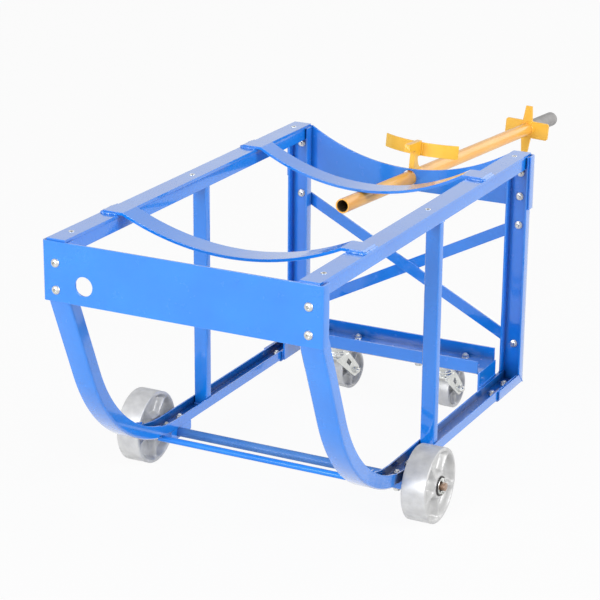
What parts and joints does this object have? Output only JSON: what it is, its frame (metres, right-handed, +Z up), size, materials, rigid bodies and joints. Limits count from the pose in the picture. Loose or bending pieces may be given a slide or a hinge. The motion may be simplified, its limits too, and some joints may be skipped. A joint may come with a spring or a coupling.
{
  "type": "drum trolley",
  "caption": "Low steel cradle trolley for lying a drum on its side, with sagging saddle straps, cast front wheels, rear swivel casters and a stored tipping lever.",
  "frame": {"origin": "on the floor, under the middle of the overall length and width, lever included", "axes": "+X to the trolley's right, +Y from the front plate towards the lever's grip, +Z up from the floor"},
  "size_m": [0.719, 1.8862, 0.6131],
  "materials": {
    "blue_paint": "semi-gloss blue enamel, worn at corners",
    "yellow_paint": "semi-gloss orange-yellow enamel",
    "cast_wheel": "silver painted rough casting",
    "zinc": "bright zinc plate",
    "axle_steel": "plain steel, slightly rusted ends",
    "grip_rubber": "matt grey rubber"
  },
  "bodies": {
    "frame": {"front_plate": "blue_paint", "rear_plate": "blue_paint", "saddle_strap_front": "blue_paint", "saddle_strap_rear": "blue_paint", "brace_falling": "blue_paint", "brace_rising": "blue_paint", "brace_spacers": "blue_paint", "caster_channel": "blue_paint", "axle": "axle_steel", "axle_sleeve": "blue_paint", "tie_bar": "blue_paint", "front_plate_bolts": "zinc", "rear_plate_bolts": "zinc", "brace_bolts": "zinc", "foot_bolts": "zinc", "bracket_bolts": "zinc", "caster_bolts": "zinc", "front_leg_left": "blue_paint", "front_leg_right": "blue_paint", "bottom_rail_left": "blue_paint", "bottom_rail_right": "blue_paint", "rear_post_left": "blue_paint", "rear_post_right": "blue_paint", "rear_foot_left": "blue_paint", "rear_foot_right": "blue_paint", "top_rail_left": "blue_paint", "top_rail_right": "blue_paint", "top_cap_left": "blue_paint", "top_cap_right": "blue_paint", "mid_post_left": "blue_paint", "mid_post_right": "blue_paint", "caster_stand_left": "blue_paint", "caster_stand_right": "blue_paint", "axle_bracket_left": "blue_paint", "axle_bracket_right": "blue_paint", "caster_plate_left": "zinc", "caster_plate_right": "zinc"},
    "left_wheel": {"front_wheel_left": "cast_wheel"},
    "right_wheel": {"front_wheel_right": "cast_wheel"},
    "left_caster_fork": {"caster_fork_left": "zinc", "caster_axle_left": "zinc"},
    "left_caster_wheel": {"caster_wheel_left": "cast_wheel"},
    "right_caster_fork": {"caster_fork_right": "zinc", "caster_axle_right": "zinc"},
    "right_caster_wheel": {"caster_wheel_right": "cast_wheel"},
    "lever": {"lever_tube": "yellow_paint", "lever_grip": "grip_rubber", "lever_hook": "yellow_paint", "chime_plate": "yellow_paint", "wrench_star": "yellow_paint"}
  },
  "joints": [
    {"name": "left_wheel_spin", "type": "hinge", "parent": "frame", "child": "left_wheel", "pos_m": [-0.3215, -0.53806, 0.0762], "axis": [1, 0, 0], "continuous": true},
    {"name": "right_wheel_spin", "type": "hinge", "parent": "frame", "child": "right_wheel", "pos_m": [0.3215, -0.53806, 0.0762], "axis": [1, 0, 0], "continuous": true},
    {"name": "left_caster_swivel", "type": "hinge", "parent": "frame", "child": "left_caster_fork", "pos_m": [-0.13, -0.03467, 0.09292], "axis": [0, 0.0236, 0.9997], "continuous": true},
    {"name": "left_caster_spin", "type": "hinge", "parent": "left_caster_fork", "child": "left_caster_wheel", "pos_m": [-0.12249, 0.0116, 0.04451], "axis": [0.9877, -0.1564, 0.0037], "continuous": true},
    {"name": "right_caster_swivel", "type": "hinge", "parent": "frame", "child": "right_caster_fork", "pos_m": [0.13, -0.03467, 0.09292], "axis": [0, 0.0236, 0.9997], "continuous": true},
    {"name": "right_caster_spin", "type": "hinge", "parent": "right_caster_fork", "child": "right_caster_wheel", "pos_m": [0.13167, 0.01217, 0.0445], "axis": [0.9994, -0.0349, 0.0008], "continuous": true},
    {"name": "lever_slide", "type": "slide", "parent": "frame", "child": "lever", "axis": [0, 0.996, -0.0898], "range_m": [0, 0.33]}
  ]
}
